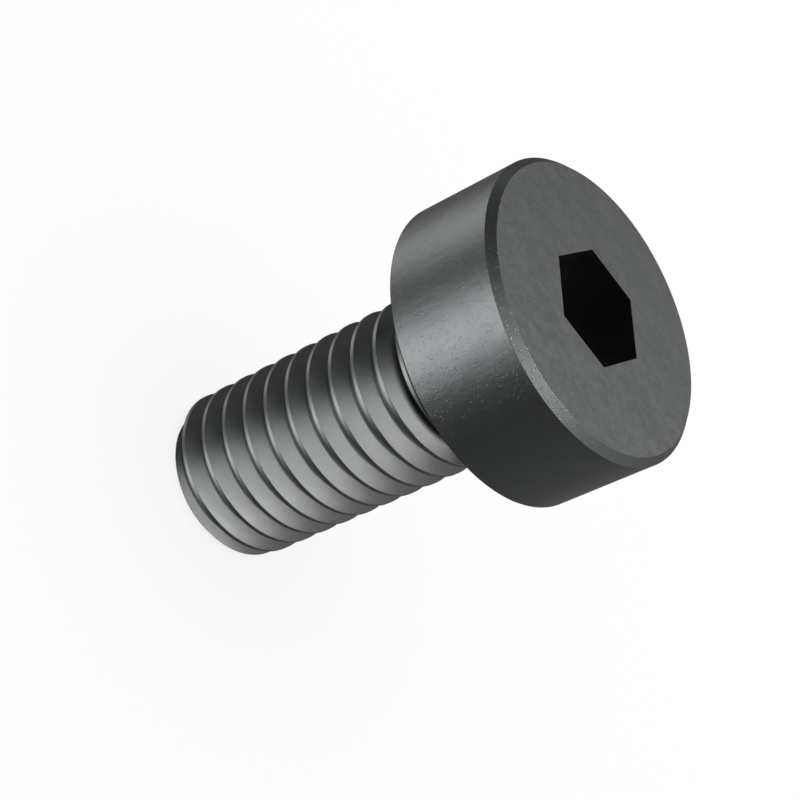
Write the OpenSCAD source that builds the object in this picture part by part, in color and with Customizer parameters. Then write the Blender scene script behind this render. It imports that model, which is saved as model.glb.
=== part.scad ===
// Low head socket cap screw with a metric coarse thread, size M5 x 10, in millimetres.
// The screw stands on its end with its head up. The origin is the centre of the
// bearing face under the head, from which a screw's length is measured.

/* [Head] */
// Diameter of the cylindrical head
head_d = 8.5; // [7.4:0.1:12]
// Height of the head above its bearing face
head_h = 3.3; // [2.8:0.1:6]
// Width of the 45 degree chamfer round the top face
head_chamfer = 0.21; // [0.05:0.01:0.5]
// Width of the small edge break round the bearing face
head_edge_break = 0.02; // [0.02:0.01:0.2]

/* [Hexagon socket] */
// Width across the flats of the socket
socket_af = 3.04; // [2:0.02:4]
// Depth of the socket's flat walls below the top face
socket_depth = 2.7; // [1.2:0.1:3]
// Included angle of the cone at the bottom of the socket
socket_cone_angle = 140; // [118:1:170]
// Width of the ledge between the flats and the cone
socket_ledge = 0.12; // [0.05:0.01:0.3]

/* [Threaded shank] */
// Length of the screw from the bearing face to its end
length = 10; // [6:0.5:30]
// Diameter over the crests of the thread
thread_d = 4.9; // [4.6:0.02:5.2]
// Pitch of the thread
pitch = 0.8; // [0.6:0.05:1]
// Angle between the two flanks of the thread
flank_angle = 60; // [50:1:65]
// Width of the 45 degree chamfer round the flat end
end_chamfer = 0.3; // [0.1:0.02:0.6]
// Angle round the axis at which a crest leaves the end face
thread_start = 104; // [0:1:359]
// Plain length left between the bearing face and the groove
plain_len = 0.15; // [0.05:0.05:2]
// Turns over which the groove runs out towards the head
runout_turns = 0.6; // [0.3:0.1:1.5]
// Radius of the fillet between the shank and the bearing face
neck_fillet = 0.2; // [0.1:0.01:0.35]

/* [Smoothness] */
// Steps in each turn of the thread
turn_steps = 40; // [24:2:48]

/* [Hidden] */
head_r = head_d / 2;
thread_r = thread_d / 2;
half_flank = flank_angle / 2;

// Width of the crest, fitted to the photograph, and radius of the round root
crest_w = 0.15 * pitch;
root_r = 0.144 * pitch;
// Depth at which the flanks would meet if the root were sharp
sharp_depth = (pitch - crest_w) / 2 / tan(half_flank);
// Depth from the crest to the bottom of the round root
groove_depth = sharp_depth - root_r / sin(half_flank) + root_r;
// Straight steps that stand for the round root
root_steps = 3;
// How far a cutting shape stands proud of the surface that it cuts
cut_proud = 0.04;
// Half width of the groove at the cutting shape's outer corners
half_mouth = (pitch - crest_w) / 2 + cut_proud * tan(half_flank);

// The groove starts a turn below the end, and its upper edge stops short of the bearing face
groove_from = thread_start - 360;
groove_from_z = -length - 1.5 * pitch;
groove_to_z = -plain_len - half_mouth;
groove_steps = ceil((groove_to_z - groove_from_z) / pitch * turn_steps);
runout_steps = runout_turns * turn_steps;

// Straight steps that stand for the fillet under the head
fillet_steps = 4;
socket_bottom = head_h - socket_depth;
socket_cone_r = socket_af / 2 - socket_ledge;
socket_cone_h = socket_cone_r / tan(socket_cone_angle / 2);

// Section of the groove as pairs of radius and height, from its lower outer corner up
function groove_section() =
    let (
        root_centre = thread_r - groove_depth + root_r,
        sweep = 90 - half_flank,
        root = [for (i = [0:root_steps])
            let (a = sweep * (2 * i / root_steps - 1))
            [root_centre - root_r * cos(a), root_r * sin(a)]]
    )
    concat(
        [[thread_r + cut_proud, -half_mouth]],
        root,
        [[thread_r + cut_proud, half_mouth]]
    );

// How far the groove's section has moved outwards at one of its steps
function groove_lift(step) =
    max(0, (step - groove_steps + runout_steps) / runout_steps) * (groove_depth + cut_proud);

// Solid of the helical groove, which is cut from the blank
module groove() {
    section = groove_section();
    n = len(section);
    points = [for (step = [0:groove_steps])
        let (
            turn = step / turn_steps,
            angle = groove_from + 360 * turn,
            z = groove_from_z + pitch * turn,
            lift = groove_lift(step)
        )
        for (p = section)
            [(p[0] + lift) * cos(angle), (p[0] + lift) * sin(angle), p[1] + z]];
    sides = [for (step = [0:groove_steps - 1], side = [0:n - 1])
        let (
            a = step * n + side,
            b = step * n + (side + 1) % n
        )
        each [[a, b + n, b], [a, a + n, b + n]]];
    start_cap = [[for (side = [0:n - 1]) side]];
    end_cap = [[for (side = [n - 1:-1:0]) groove_steps * n + side]];
    polyhedron(points, concat(sides, start_cap, end_cap), convexity = 10);
}

// Head and shank turned in one piece, drawn from the end up to the top face
module blank() {
    end = [
        [0, -length],
        [thread_r - end_chamfer, -length],
        [thread_r, -length + end_chamfer]
    ];
    fillet = [for (i = [0:fillet_steps])
        let (a = 180 - 90 * i / fillet_steps)
        [thread_r + neck_fillet * (1 + cos(a)), neck_fillet * (sin(a) - 1)]];
    head = [
        [head_r - head_edge_break, 0],
        [head_r, head_edge_break],
        [head_r, head_h - head_chamfer],
        [head_r - head_chamfer, head_h],
        [0, head_h]
    ];
    rotate_extrude($fn = 96)
        polygon(concat(end, fillet, head));
}

// Hexagonal socket with a shallow cone at its bottom
module socket() {
    // The cone's cut reaches up into the flats' cut, so that the two make one open hollow
    cone = [
        [0, -socket_cone_h],
        [socket_cone_r, 0],
        [socket_cone_r, 2 * cut_proud],
        [0, 2 * cut_proud]
    ];
    translate([0, 0, socket_bottom]) {
        cylinder(h = socket_depth + cut_proud, d = socket_af / cos(30), $fn = 6);
        rotate_extrude($fn = 48)
            polygon(cone);
    }
}

module screw() {
    color("dimgray")
        difference() {
            blank();
            socket();
            groove();
        }
}

screw();
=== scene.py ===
# Studio picture of a low head socket cap screw, size M5 x 10, in dark blackened steel.
# The screw stands on its flat end with its head up, and the camera looks down on it.
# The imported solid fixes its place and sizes. One piece with a finer thread, softened edges
# and a mottled finish is shown in its place.
import math

import bmesh
import bpy
from mathutils import Matrix, Quaternion, Vector


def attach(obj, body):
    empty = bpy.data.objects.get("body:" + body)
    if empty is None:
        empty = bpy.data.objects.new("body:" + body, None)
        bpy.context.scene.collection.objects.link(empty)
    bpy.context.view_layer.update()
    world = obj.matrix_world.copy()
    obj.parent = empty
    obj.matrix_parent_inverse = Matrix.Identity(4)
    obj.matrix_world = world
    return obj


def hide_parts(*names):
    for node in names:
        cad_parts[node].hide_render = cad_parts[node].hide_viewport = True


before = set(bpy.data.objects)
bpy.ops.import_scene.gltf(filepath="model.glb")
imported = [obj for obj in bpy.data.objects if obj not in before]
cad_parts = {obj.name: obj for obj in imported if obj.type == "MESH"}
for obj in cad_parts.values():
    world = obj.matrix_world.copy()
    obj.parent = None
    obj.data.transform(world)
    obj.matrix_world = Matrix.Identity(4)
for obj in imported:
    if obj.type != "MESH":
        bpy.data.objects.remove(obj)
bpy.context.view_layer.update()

# Sizes are in millimetres, as in the part's source, until a finished mesh is scaled to metres
MM = 0.001

# Head, with a chamfer round its top face
HEAD_RADIUS = 4.25
HEAD_HEIGHT = 3.3
HEAD_CHAMFER = 0.21
# How far its edges are eased: round the bearing face, at the top of the wall, and round the top face
HEAD_EDGE_BREAK = 0.014
HEAD_EDGE_SOFTNESS = 0.005
FACE_EDGE_SOFTNESS = 0.002
# Distance from each eased edge to the ring of points that keeps the surface beside it true
CORNER_SUPPORT = 0.006

# Hexagon socket, with a shallow cone at its bottom and a narrow ledge round the cone
SOCKET_SIDES = 6
SOCKET_FLATS = 3.04
SOCKET_DEPTH = 2.7
SOCKET_CONE_ANGLE = 140
SOCKET_LEDGE = 0.12

# Shank and thread
SHANK_LENGTH = 10.0
THREAD_RADIUS = 2.45
PITCH = 0.8
HALF_FLANK = 30
END_CHAMFER = 0.3
NECK_FILLET = 0.2
# Angle at which a crest leaves the end face, and pitches by which the winding starts below the end
THREAD_START = 104
START_BELOW_END = 1.5
# Plain length under the head, and turns over which the groove runs out towards it
PLAIN_LENGTH = 0.15
RUNOUT_TURNS = 0.6
CREST_WIDTH = 0.15 * PITCH
CREST_EDGE_RADIUS = 0.013
ROOT_RADIUS = 0.144 * PITCH
# Depth at which the flanks would meet, and depth to the bottom of the round root
SHARP_DEPTH = (PITCH - CREST_WIDTH) / 2 / math.tan(math.radians(HALF_FLANK))
GROOVE_DEPTH = SHARP_DEPTH - ROOT_RADIUS / math.sin(math.radians(HALF_FLANK)) + ROOT_RADIUS

# Fineness of the meshes: steps round the axis, and straight parts of each rounding and flank
THREAD_STEPS = 120
HEAD_STEPS = 192
EASED_PARTS = 3
FILLET_PARTS = 8
CREST_EDGE_PARTS = 3
ROOT_PARTS = 10
FLANK_PARTS = 3
# Share of a flank between each of its ends and the row of points close to it
FLANK_SUPPORT = 0.03
# Angle in degrees past which the edge between two faces shows as sharp
SHARP_ANGLE = 32

# How far helping solids reach past what they cut, trim or join
CUT_PROUD = 0.2
CONE_OVERLAP = 0.3
TRIM_ROOM = 0.3
FILLET_OVERLAP = 0.004

# How near a point lies to the corner that it belongs to, and how near points become one
ON_CORNER = 1e-3
TURNED_MERGE = 1e-5
THREAD_MERGE = 1e-4
SCREW_MERGE = 2e-4
SHORTEST_EDGE = 1e-4

# Random patterns of the finish: how many swells to a millimetre, how fine, and how curled
SWELL_PATTERN = (0.9, 1.0, 0.0)
GRAIN_PATTERN = (3.2, 3.0, 0.6)
CLOUD_PATTERN = (4.2, 3.0, 0.8)
GLOSS_PATTERN = (1.7, 3.0, 0.0)
# Part of a pattern's range over which it takes effect
PATTERN_SPAN = (0.3, 0.7)

# Waves of the surface: heights in millimetres, how far the grain is drawn out along the axis, and
# the share of both that is left away from the outside of the head
SWELL_HEIGHT = 0.018
GRAIN_HEIGHT = 0.006
GRAIN_STRETCH = 2.2
THREAD_WAVES = 0.06

# Nicks: how many to a millimetre, how long, and the radius to which they bend
LONG_NICKS = (5.0, 0.1, 0.25)
SHORT_NICKS = (7.5, 0.06, 0.12)
# Shift that keeps the short nicks from following the long ones
SHORT_NICKS_SHIFT = (31.7, 12.3, 5.9)
NICK_WIDTH = 0.014
NICK_HEIGHT = 0.0016
CHAMFER_NICK_HEIGHT = 0.0030
# Heights of the nicks on the face and on the worn side, against those elsewhere
FACE_NICKS = 0.6
WORN_NICKS = 1.8
# Share of the nicks that are lower than the full height
LOW_NICKS = 0.5

# Colours of the oxide, of the steel that shows through it on the crests, and of the painted shade:
# black painted under the head, where its shade falls
OXIDE_DARK = (0.1180, 0.1250, 0.1230, 1)
OXIDE_LIGHT = (0.1370, 0.1450, 0.1430, 1)
BARE_STEEL = (0.309, 0.313, 0.290, 1)
CREST_WEAR = 0.1
PAINTED_SHADE = (0.012, 0.013, 0.013, 1)
# Tint of reflections at a grazing angle
EDGE_TINT = (0.88, 0.88, 0.88, 1)
# Roughness between which the gloss changes
ROUGHNESS = (0.277, 0.297)
# Azimuth of the head's worn side
WORN_SIDE = 88
# Strength of the clouds: on the side of the head, and on the face, away from the worn side and near it
SIDE_CLOUDS = 0.35
FACE_CLOUDS = (0.8, 1.5)
# Share of the shade painted under the head that is left right next to the head
NECK_PAINTED_SHADE = 0.4

# Heights between which parts of the finish, and the shade painted under the head, set in
FACE_BAND = (HEAD_HEIGHT - 0.012, HEAD_HEIGHT - 0.003)
CHAMFER_BAND = (HEAD_HEIGHT - HEAD_CHAMFER - 0.03, HEAD_HEIGHT - HEAD_CHAMFER)
WALL_BAND = (0.004, 0.03)
CREST_WEAR_BAND = (-0.1, -0.2)
# Heights of the shade painted black under the head and in the last groove below it
PAINTED_SHADE_BAND = (-0.02, -0.1)
NECK_FADE_BAND = (-1.15, -0.5)
NECK_BAND = (-1.29, -1.20)
LAST_GROOVE_BAND = (-1.95, -1.75)
# Radii between which parts of the finish, and the shade painted in the last groove, set in
OUTSIDE_BAND = (HEAD_RADIUS - 0.5, HEAD_RADIUS - 0.35)
CREST_BAND = (THREAD_RADIUS - 0.03, THREAD_RADIUS - 0.01)
ROOT_BAND = (2.17, 2.05)
# Distances from the axis towards the worn side between which wear sets in, on the wall and on the face
WORN_WALL_BAND = (3.4, 4.2)
WORN_FACE_BAND = (-2.5, 2.5)

# Camera, fitted to the photograph: where it looks, from where, how far it is rolled, and its lens
AIM_HEIGHT = -3.445
CAMERA_DISTANCE = 60.63
CAMERA_AZIMUTH = 65.72
CAMERA_ELEVATION = 34.53
CAMERA_ROLL = 65.0
LENS = 100.55
SENSOR_WIDTH = 36
# Nearest and furthest that it sees, in metres
SEEN_FROM = 0.001
SEEN_TO = 20

# Floor: radius in metres, steps round it, and the share of its white that the studio lights and the
# screw's shadow falls on, while the rest glows
FLOOR_RADIUS = 3
FLOOR_STEPS = 64
FLOOR_LIT = 0.2

# Tints of the light
NEUTRAL = Vector((1, 1, 1))
COOL = Vector((0.985, 1, 1.025))
WARM = Vector((1.035, 1, 1.012))

# Sphere that reflections show, in metres, and its soft panels: azimuth, elevation, how narrow,
# how bright, and of which tint
TENT_RADIUS = 1.0
TENT_FINENESS = 4
TENT_BASE = 0.150
PANELS = {
    "front_low": (41, -36, 17.0, 3.62, COOL),
    "left_low": (-36, -22, 15.9, 1.92, NEUTRAL),
    "front_high": (38, 28, 12.4, 0.93, NEUTRAL),
    "right_high": (104, 60, 9.5, 1.77, NEUTRAL),
    "back_high": (-125, 50, 16.1, 1.43, NEUTRAL),
    "back_fill": (176, 31, 2.9, 0.49, NEUTRAL),
    "left_high": (-62, 11, 40.0, 0.22, NEUTRAL),
}

# Overhead lamps: azimuth, elevation, half the angle that one fills, how bright, and of which tint
LAMPS = {
    "lamp_behind": (-172, 66, 20.5, 1.66, WARM),
    "lamp_right": (161, 81, 20.6, 1.16, WARM),
    "lamp_left": (13, 82, 18, 1.18, NEUTRAL),
    "lamp_wide": (-112, 76, 33, 0.41, NEUTRAL),
}
# Distance of each lamp from the origin, in metres
LAMP_DISTANCE = 0.6


def direction(azimuth, elevation):
    """Unit vector towards an azimuth and an elevation in degrees."""
    flat = math.cos(math.radians(elevation))
    return Vector((
        flat * math.cos(math.radians(azimuth)),
        flat * math.sin(math.radians(azimuth)),
        math.sin(math.radians(elevation)),
    ))


# Shapes of the screw
def draw_outline(mesh, outline):
    """Draws pairs of radius and height as a chain of edges in the plane through the axis and X."""
    points = [mesh.verts.new((radius, 0, height)) for radius, height in outline]
    edges = [mesh.edges.new(pair) for pair in zip(points, points[1:])]
    return points + edges


def spin_outline(mesh, outline, steps, rise, closed):
    """Spins an outline once round the axis, rising by an equal amount at each step."""
    bmesh.ops.spin(
        mesh, geom=draw_outline(mesh, outline), cent=(0, 0, 0), axis=(0, 0, 1), dvec=(0, 0, rise),
        angle=2 * math.pi, steps=steps, use_merge=closed, use_normal_flip=False, use_duplicate=False,
    )


def object_of(mesh, name):
    """Turns a finished mesh into an object."""
    data = bpy.data.meshes.new(name)
    mesh.to_mesh(data)
    mesh.free()
    piece = bpy.data.objects.new(name, data)
    bpy.context.scene.collection.objects.link(piece)
    return piece


def between(point, other, share):
    """The point that lies at a share of the way from one point to another."""
    return tuple(here + (there - here) * share for here, there in zip(point, other))


def toward(point, other, distance):
    """The point at a distance from one point towards another."""
    return between(point, other, distance / math.dist(point, other))


def with_supports(outline, softened):
    """Adds a point on each side of the softened corners, to keep the surfaces beside them true."""
    softness_at = {corner[:2]: corner[2] for corner in softened}
    supported = []
    for place, point in enumerate(outline):
        if point in softness_at:
            distance = softness_at[point] + CORNER_SUPPORT
            supported.append(toward(point, outline[place - 1], distance))
            supported.append(point)
            supported.append(toward(point, outline[place + 1], distance))
        else:
            supported.append(point)
    return supported


def on_corner(vert, radius, height):
    """Whether a vertex lies on the ring at a radius and a height."""
    off_radius = abs(math.hypot(vert.co.x, vert.co.y) - radius)
    return off_radius < ON_CORNER and abs(vert.co.z - height) < ON_CORNER


def turned(name, outline, softened=()):
    """Solid turned on the axis. Softened holds each eased corner's radius, height and softness."""
    mesh = bmesh.new()
    spin_outline(mesh, with_supports(outline, softened), HEAD_STEPS, rise=0, closed=True)
    bmesh.ops.remove_doubles(mesh, verts=mesh.verts, dist=TURNED_MERGE)
    for radius, height, softness in softened:
        ring = [
            edge for edge in mesh.edges
            if all(on_corner(end, radius, height) for end in edge.verts)
        ]
        bmesh.ops.bevel(
            mesh, geom=ring, affect="EDGES", offset=softness, offset_type="OFFSET",
            segments=EASED_PARTS, profile=0.5, material=-1, clamp_overlap=True,
        )
    bmesh.ops.recalc_face_normals(mesh, faces=mesh.faces)
    return object_of(mesh, name)


def thread_section():
    """One pitch of the thread as pairs of radius and height, from the middle of a crest to the next."""
    sweep = math.pi / 2 - math.radians(HALF_FLANK)
    half_mouth = (PITCH - CREST_WIDTH) / 2
    # The edge of the crest is an arc that meets the crest and the flank
    eased = CREST_EDGE_RADIUS * math.tan(sweep / 2)
    edge_centre = (THREAD_RADIUS - CREST_EDGE_RADIUS, half_mouth + eased)
    crest_edge = []
    for part in range(CREST_EDGE_PARTS + 1):
        turn = sweep * part / CREST_EDGE_PARTS
        crest_edge.append((
            edge_centre[0] + CREST_EDGE_RADIUS * math.cos(turn),
            edge_centre[1] - CREST_EDGE_RADIUS * math.sin(turn),
        ))
    # Upper half of the round root, down to its bottom
    root_centre = THREAD_RADIUS - GROOVE_DEPTH + ROOT_RADIUS
    root = []
    for part in range(ROOT_PARTS // 2 + 1):
        turn = sweep * (1 - 2 * part / ROOT_PARTS)
        root.append((root_centre - ROOT_RADIUS * math.cos(turn), ROOT_RADIUS * math.sin(turn)))
    # A row close to each rounding keeps the flank itself flat when it is shaded smooth
    shares = [part / FLANK_PARTS for part in range(1, FLANK_PARTS)]
    shares = [FLANK_SUPPORT] + shares + [1 - FLANK_SUPPORT]
    flank = [between(crest_edge[-1], root[0], share) for share in shares]
    crest_support = (THREAD_RADIUS, edge_centre[1] + CREST_EDGE_RADIUS)
    upper = [(THREAD_RADIUS, PITCH / 2), crest_support] + crest_edge + flank + root
    lower = [(radius, -height) for radius, height in upper[:-1]]
    return lower + upper[::-1]


def run_out(mesh, groove_turns):
    """Makes the groove shallower towards the head, until the shank is plain."""
    for vert in mesh.verts:
        angle = math.degrees(math.atan2(vert.co.y, vert.co.x)) % 360
        turn = round(vert.co.z / PITCH - angle / 360) + angle / 360
        left = min(1, max(0, (groove_turns - turn) / RUNOUT_TURNS))
        # Share of the full depth, which changes gently at both ends of the runout
        depth = left * left * (3 - 2 * left)
        radius = math.hypot(vert.co.x, vert.co.y)
        new_radius = THREAD_RADIUS - (THREAD_RADIUS - radius) * depth
        vert.co.x *= new_radius / radius
        vert.co.y *= new_radius / radius


def new_verts(made):
    """The vertices among what an operator made."""
    return [part for part in made["geom"] if isinstance(part, bmesh.types.BMVert)]


def wound_thread():
    """Threaded shank: the thread's section is wound up the axis, and the two ends are closed."""
    first_turn = math.radians(THREAD_START - 360)
    first_height = -SHANK_LENGTH - START_BELOW_END * PITCH
    groove_end = -PLAIN_LENGTH - (PITCH - CREST_WIDTH) / 2
    turns = math.ceil(-first_height / PITCH) + 1
    mesh = bmesh.new()
    spin_outline(mesh, thread_section(), THREAD_STEPS, rise=PITCH / THREAD_STEPS, closed=False)
    one_turn = mesh.verts[:] + mesh.edges[:] + mesh.faces[:]
    for number in range(1, turns):
        copied = bmesh.ops.duplicate(mesh, geom=one_turn)
        bmesh.ops.translate(mesh, vec=(0, 0, number * PITCH), verts=new_verts(copied))
    run_out(mesh, (groove_end - first_height) / PITCH)
    bmesh.ops.remove_doubles(mesh, verts=mesh.verts, dist=THREAD_MERGE)
    # Each open end is drawn together to a point on the axis
    rims = [edge for edge in mesh.edges if edge.is_boundary]
    middle = turns * PITCH / 2
    for low in (True, False):
        rim = [edge for edge in rims if (edge.verts[0].co.z < middle) == low]
        made = bmesh.ops.extrude_edge_only(mesh, edges=rim)
        height = -PITCH / 2 if low else turns * PITCH + PITCH / 2
        bmesh.ops.pointmerge(mesh, verts=new_verts(made), merge_co=(0, 0, height))
    placing = Matrix.Translation((0, 0, first_height)) @ Matrix.Rotation(first_turn, 4, "Z")
    bmesh.ops.transform(mesh, matrix=placing, verts=mesh.verts)
    bmesh.ops.recalc_face_normals(mesh, faces=mesh.faces)
    return object_of(mesh, "wound_thread")


def combine(piece, other, operation):
    """Joins, cuts or trims a piece with another solid, which is then removed."""
    step = piece.modifiers.new("combine", "BOOLEAN")
    step.operation = operation
    step.solver = "MANIFOLD"
    step.object = other
    bpy.context.view_layer.update()
    shaped = piece.evaluated_get(bpy.context.evaluated_depsgraph_get())
    result = bpy.data.meshes.new_from_object(shaped)
    piece.modifiers.clear()
    piece.data = result
    bpy.data.objects.remove(other)


def end_trim():
    """Room that the shank may fill: it gives the flat end and the chamfer round it."""
    wide = THREAD_RADIUS + TRIM_ROOM
    return turned("end_trim", [
        (0, -SHANK_LENGTH),
        (THREAD_RADIUS - END_CHAMFER, -SHANK_LENGTH),
        (wide, -SHANK_LENGTH + END_CHAMFER + TRIM_ROOM),
        (wide, HEAD_HEIGHT / 2),
        (0, HEAD_HEIGHT / 2),
    ])


def head_blank():
    """Head with its chamfer, its edge break and the fillet that leads into the shank."""
    fillet = []
    for part in range(FILLET_PARTS + 1):
        turn = math.pi - math.pi / 2 * part / FILLET_PARTS
        fillet.append((
            THREAD_RADIUS - FILLET_OVERLAP + NECK_FILLET * (1 + math.cos(turn)),
            NECK_FILLET * (math.sin(turn) - 1),
        ))
    wall_top = (HEAD_RADIUS, HEAD_HEIGHT - HEAD_CHAMFER)
    face_edge = (HEAD_RADIUS - HEAD_CHAMFER, HEAD_HEIGHT)
    bearing_edge = (HEAD_RADIUS, 0)
    outline = [(0, -NECK_FILLET)] + fillet + [bearing_edge, wall_top, face_edge, (0, HEAD_HEIGHT)]
    softened = [
        wall_top + (HEAD_EDGE_SOFTNESS,),
        face_edge + (FACE_EDGE_SOFTNESS,),
        bearing_edge + (HEAD_EDGE_BREAK,),
    ]
    return turned("head_blank", outline, softened)


def socket_flats():
    """Hexagonal part of the socket, with a corner towards +X."""
    half_side = math.pi / SOCKET_SIDES
    corner = SOCKET_FLATS / 2 / math.cos(half_side)
    height = SOCKET_DEPTH + CUT_PROUD
    place = Matrix.Translation((0, 0, HEAD_HEIGHT - SOCKET_DEPTH + height / 2))
    mesh = bmesh.new()
    bmesh.ops.create_cone(
        mesh, cap_ends=True, segments=SOCKET_SIDES, radius1=corner, radius2=corner, depth=height,
        matrix=place @ Matrix.Rotation(half_side, 4, "Z"),
    )
    return object_of(mesh, "socket_flats")


def socket_cone():
    """Shallow cone at the bottom of the socket."""
    radius = SOCKET_FLATS / 2 - SOCKET_LEDGE
    bottom = HEAD_HEIGHT - SOCKET_DEPTH
    depth = radius / math.tan(math.radians(SOCKET_CONE_ANGLE / 2))
    return turned("socket_cone", [
        (0, bottom - depth),
        (radius, bottom),
        (radius, bottom + CONE_OVERLAP),
        (0, bottom + CONE_OVERLAP),
    ])


def build_screw():
    """The whole screw as one closed mesh in metres."""
    screw = wound_thread()
    screw.name = "screw_body"
    combine(screw, end_trim(), "INTERSECT")
    combine(screw, head_blank(), "UNION")
    combine(screw, socket_flats(), "DIFFERENCE")
    combine(screw, socket_cone(), "DIFFERENCE")
    mesh = bmesh.new()
    mesh.from_mesh(screw.data)
    bmesh.ops.remove_doubles(mesh, verts=mesh.verts, dist=SCREW_MERGE)
    bmesh.ops.dissolve_degenerate(mesh, edges=mesh.edges, dist=SHORTEST_EDGE)
    bmesh.ops.recalc_face_normals(mesh, faces=mesh.faces)
    bmesh.ops.scale(mesh, vec=(MM, MM, MM), verts=mesh.verts)
    for face in mesh.faces:
        face.smooth = True
    mesh.to_mesh(screw.data)
    mesh.free()
    screw.data.name = "screw_body"
    screw.data.set_sharp_from_angle(angle=math.radians(SHARP_ANGLE))
    return screw


# Materials
class Finish:
    """A material's nodes, added one after the other and linked as they are named."""

    def __init__(self, name):
        self.material = bpy.data.materials.new(name)
        self.material.use_nodes = True
        self.tree = self.material.node_tree
        self.tree.nodes.clear()

    def node(self, kind, inputs=None, **settings):
        """Adds a node. Each input is a number, a colour or another node's output."""
        made = self.tree.nodes.new(kind)
        for name, value in settings.items():
            setattr(made, name, value)
        for name, value in (inputs or {}).items():
            if isinstance(value, bpy.types.NodeSocket):
                self.tree.links.new(value, made.inputs[name])
            else:
                made.inputs[name].default_value = value
        return made

    def number(self, operation, *values):
        """Result of a sum on single numbers."""
        made = self.node("ShaderNodeMath", dict(enumerate(values)), operation=operation)
        return made.outputs["Value"]

    def times(self, first, second):
        """Product of two numbers."""
        return self.number("MULTIPLY", first, second)

    def vector(self, operation, *values, output="Vector"):
        """Result of a sum on vectors."""
        made = self.node("ShaderNodeVectorMath", dict(enumerate(values)), operation=operation)
        return made.outputs[output]

    def ramp(self, value, start, end, low=0.0, high=1.0):
        """Soft step from low to high while the value goes from start to end."""
        made = self.node("ShaderNodeMapRange", {
            "Value": value, "From Min": start, "From Max": end, "To Min": low, "To Max": high,
        }, interpolation_type="SMOOTHSTEP")
        return made.outputs["Result"]

    def mix(self, share, under, over):
        """Colour that goes from one to another as the share goes from 0 to 1."""
        made = self.node("ShaderNodeMix", {"Factor": share, "A": under, "B": over}, data_type="RGBA")
        return made.outputs["Result"]

    def noise(self, place, per_mm, detail, curl):
        """Soft random pattern between 0 and 1, with so many swells to a millimetre."""
        made = self.node("ShaderNodeTexNoise", {
            "Vector": place, "Scale": per_mm, "Detail": detail, "Distortion": curl,
        })
        return made.outputs["Fac"]

    def nicks(self, place, per_mm, length, bend):
        """Short curved ridges with random headings and heights, which reach 1 along the middle."""
        cell = self.node("ShaderNodeTexVoronoi", {"Vector": place, "Scale": per_mm})
        offset = self.vector("SUBTRACT", place, cell.outputs["Position"])
        chances = cell.outputs["Color"]
        heading = self.vector("NORMALIZE", self.vector("SUBTRACT", chances, (0.5, 0.5, 0.5)))
        # A ridge follows a circle through the middle of its cell
        centre = self.vector("MULTIPLY", heading, (bend, bend, bend))
        from_centre = self.vector("DISTANCE", offset, centre, output="Value")
        across = self.number("ABSOLUTE", self.number("SUBTRACT", from_centre, bend))
        reach = self.vector("LENGTH", offset, output="Value")
        line = self.times(self.ramp(across, NICK_WIDTH, 0.0), self.ramp(reach, length, length / 2))
        chance = self.node("ShaderNodeSeparateXYZ", {"Vector": chances}).outputs["Z"]
        return self.times(line, self.ramp(chance, 0.0, LOW_NICKS))

    def surface(self, shader):
        """Ends the material with the shader that its surface shows."""
        self.node("ShaderNodeOutputMaterial", {"Surface": shader})
        return self.material


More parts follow.
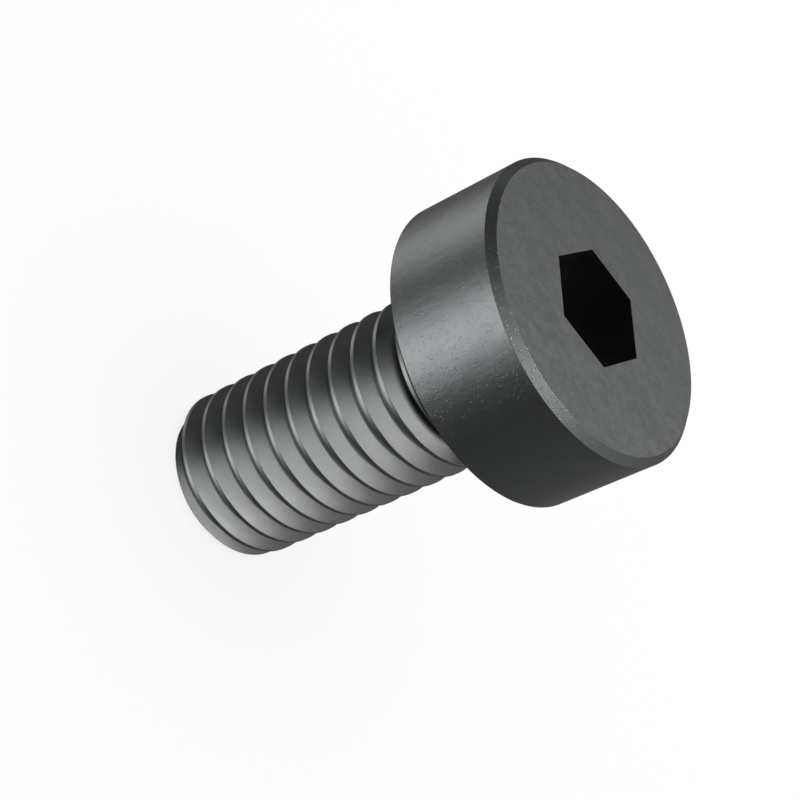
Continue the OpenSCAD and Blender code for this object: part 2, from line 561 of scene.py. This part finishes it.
def blackened_steel():
    """Black oxide on steel: satin, slightly wavy and mottled, with small nicks on the head, and shade
    painted black under the head.
    """
    finish = Finish("blackened_steel")
    metres = finish.node("ShaderNodeTexCoord").outputs["Object"]
    place = finish.vector("MULTIPLY", metres, (1 / MM, 1 / MM, 1 / MM))
    height = finish.node("ShaderNodeSeparateXYZ", {"Vector": place}).outputs["Z"]
    radius = finish.vector("LENGTH", finish.vector("MULTIPLY", place, (1, 1, 0)), output="Value")
    to_worn_side = finish.vector("DOT_PRODUCT", place, direction(WORN_SIDE, 0), output="Value")
    on_face = finish.ramp(height, *FACE_BAND)
    past_wall = finish.ramp(height, *CHAMFER_BAND)
    outside = finish.number("MAXIMUM", finish.ramp(radius, *OUTSIDE_BAND), on_face)
    on_head = finish.times(outside, finish.ramp(height, *WALL_BAND))

    # Waves in millimetres: full on the outside of the head, and only faint elsewhere
    swell = finish.times(finish.noise(place, *SWELL_PATTERN), SWELL_HEIGHT)
    along_axis = finish.vector("MULTIPLY", place, (1, 1, 1 / GRAIN_STRETCH))
    grain = finish.times(finish.noise(along_axis, *GRAIN_PATTERN), GRAIN_HEIGHT)
    wave_share = finish.ramp(on_head, 0, 1, THREAD_WAVES)
    waves = finish.times(finish.number("ADD", swell, grain), wave_share)

    # Nicks: only on the head, higher on the chamfer and on the worn side, and lower on the face
    long_nicks = finish.nicks(place, *LONG_NICKS)
    short_nicks = finish.nicks(finish.vector("ADD", place, SHORT_NICKS_SHIFT), *SHORT_NICKS)
    nicks = finish.number("MAXIMUM", long_nicks, short_nicks)
    nick_height = finish.ramp(past_wall, 0, 1, NICK_HEIGHT, CHAMFER_NICK_HEIGHT)
    nick_height = finish.times(on_head, nick_height)
    nick_height = finish.times(nick_height, finish.ramp(on_face, 0, 1, 1, FACE_NICKS))
    nick_height = finish.times(nick_height, finish.ramp(to_worn_side, *WORN_WALL_BAND, 1, WORN_NICKS))
    bump = finish.node("ShaderNodeBump", {
        "Height": finish.number("MULTIPLY_ADD", nicks, nick_height, waves),
        "Distance": MM,
        "Strength": 1.0,
    })

    # Cloudy patches of two shades of oxide, which show most on the face
    cloud = finish.ramp(finish.noise(place, *CLOUD_PATTERN), *PATTERN_SPAN, -0.5, 0.5)
    face_clouds = finish.ramp(to_worn_side, *WORN_FACE_BAND, *FACE_CLOUDS)
    clouds = finish.times(cloud, finish.ramp(on_face, 0, 1, SIDE_CLOUDS, face_clouds))
    oxide = finish.mix(finish.number("ADD", clouds, 0.5), OXIDE_DARK, OXIDE_LIGHT)

    # Steel shows through on the rubbed crests of the thread
    on_crest = finish.ramp(radius, *CREST_BAND)
    rubbed = finish.times(on_crest, finish.ramp(height, *CREST_WEAR_BAND, 0.0, CREST_WEAR))
    worn = finish.mix(rubbed, oxide, BARE_STEEL)

    # Painted shade: black painted under the head and in the last groove below it, where the head's
    # shade falls
    groove_shade = finish.times(finish.ramp(height, *LAST_GROOVE_BAND), finish.ramp(radius, *ROOT_BAND))
    shade_fade = finish.ramp(height, *NECK_FADE_BAND, 1.0, NECK_PAINTED_SHADE)
    under_head_shade = finish.times(finish.ramp(height, *NECK_BAND), shade_fade)
    painted_shade = finish.number("MAXIMUM", groove_shade, under_head_shade)
    painted_shade = finish.times(painted_shade, finish.ramp(height, *PAINTED_SHADE_BAND))

    # Its base colour turns black where shade is painted under the head
    shader = finish.node("ShaderNodeBsdfPrincipled", {
        "Base Color": finish.mix(painted_shade, worn, PAINTED_SHADE),
        "Metallic": 1.0,
        "Specular Tint": EDGE_TINT,
        "Roughness": finish.ramp(finish.noise(place, *GLOSS_PATTERN), *PATTERN_SPAN, *ROUGHNESS),
        "Normal": bump.outputs["Normal"],
    })
    return finish.surface(shader.outputs["BSDF"])


# Stage
def floor():
    """White table, on which the screw's shadow stays faint."""
    mesh = bmesh.new()
    place = Matrix.Translation((0, 0, -SHANK_LENGTH * MM))
    bmesh.ops.create_circle(
        mesh, cap_ends=True, segments=FLOOR_STEPS, radius=FLOOR_RADIUS, matrix=place,
    )
    piece = object_of(mesh, "floor")
    finish = Finish("white_table")
    lit = finish.node("ShaderNodeBsdfDiffuse", {"Color": (FLOOR_LIT, FLOOR_LIT, FLOOR_LIT, 1)})
    glow = finish.node("ShaderNodeEmission", {"Strength": 1 - FLOOR_LIT})
    both = finish.node("ShaderNodeAddShader", {0: lit.outputs["BSDF"], 1: glow.outputs["Emission"]})
    piece.data.materials.append(finish.surface(both.outputs["Shader"]))
    piece.visible_glossy = False


def reflection_tent():
    """Large sphere with soft bright panels on it, which only reflections show."""
    mesh = bmesh.new()
    bmesh.ops.create_icosphere(mesh, subdivisions=TENT_FINENESS, radius=TENT_RADIUS)
    piece = object_of(mesh, "reflection_tent")
    finish = Finish("tent_panels")
    facing = finish.vector("NORMALIZE", finish.node("ShaderNodeTexCoord").outputs["Object"])
    glow = TENT_BASE * NEUTRAL
    for azimuth, elevation, narrowness, brightness, tint in PANELS.values():
        near = finish.vector("DOT_PRODUCT", facing, direction(azimuth, elevation), output="Value")
        power = finish.number("MULTIPLY_ADD", near, narrowness, -narrowness)
        falloff = finish.number("EXPONENT", power)
        glow = finish.vector("MULTIPLY_ADD", falloff, brightness * tint, glow)
    light = finish.node("ShaderNodeEmission", {"Color": glow})
    piece.data.materials.append(finish.surface(light.outputs["Emission"]))
    finish.material.cycles.emission_sampling = "NONE"
    piece.visible_camera = False
    piece.visible_diffuse = False
    piece.visible_transmission = False
    piece.visible_shadow = False


def overhead_lamp(name, azimuth, elevation, spread, brightness, tint):
    """Soft lamp for the flanks of the thread, which the head and the crests would otherwise hide."""
    data = bpy.data.lights.new(name, "AREA")
    data.color = tint
    data.shape = "DISK"
    data.size = 2 * LAMP_DISTANCE * math.tan(math.radians(spread))
    # Watts at which a disc of this size looks as bright as the number says
    data.energy = brightness * math.pi * math.pi * (data.size / 2) ** 2
    data.use_shadow = False
    data.cycles.use_multiple_importance_sampling = False
    lamp = bpy.data.objects.new(name, data)
    bpy.context.scene.collection.objects.link(lamp)
    facing = direction(azimuth, elevation)
    lamp.location = facing * LAMP_DISTANCE
    lamp.rotation_mode = "QUATERNION"
    lamp.rotation_quaternion = facing.to_track_quat("Z", "Y")
    lamp.visible_diffuse = False


def studio_world():
    """White room, which lights the floor."""
    world = bpy.data.worlds.new("white_room")
    bpy.context.scene.world = world
    world.use_nodes = True
    world.node_tree.nodes["Background"].inputs["Color"].default_value = (1, 1, 1, 1)
    world.node_tree.nodes["Background"].inputs["Strength"].default_value = 1.0


def camera():
    """Camera at the photograph's viewing angle."""
    data = bpy.data.cameras.new("camera")
    data.lens = LENS
    data.sensor_width = SENSOR_WIDTH
    data.clip_start = SEEN_FROM
    data.clip_end = SEEN_TO
    piece = bpy.data.objects.new("camera", data)
    bpy.context.scene.collection.objects.link(piece)
    back = direction(CAMERA_AZIMUTH, CAMERA_ELEVATION)
    roll = Quaternion((0, 0, 1), math.radians(CAMERA_ROLL))
    piece.location = Vector((0, 0, AIM_HEIGHT * MM)) + back * CAMERA_DISTANCE * MM
    piece.rotation_mode = "QUATERNION"
    piece.rotation_quaternion = back.to_track_quat("Z", "Y") @ roll
    bpy.context.scene.camera = piece


screw = build_screw()
screw.data.materials.clear()
screw.data.materials.append(blackened_steel())
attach(screw, "root")
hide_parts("screw")

floor()
reflection_tent()
for name, values in LAMPS.items():
    overhead_lamp(name, *values)
studio_world()
camera()
bpy.context.scene.view_settings.view_transform = "Standard"
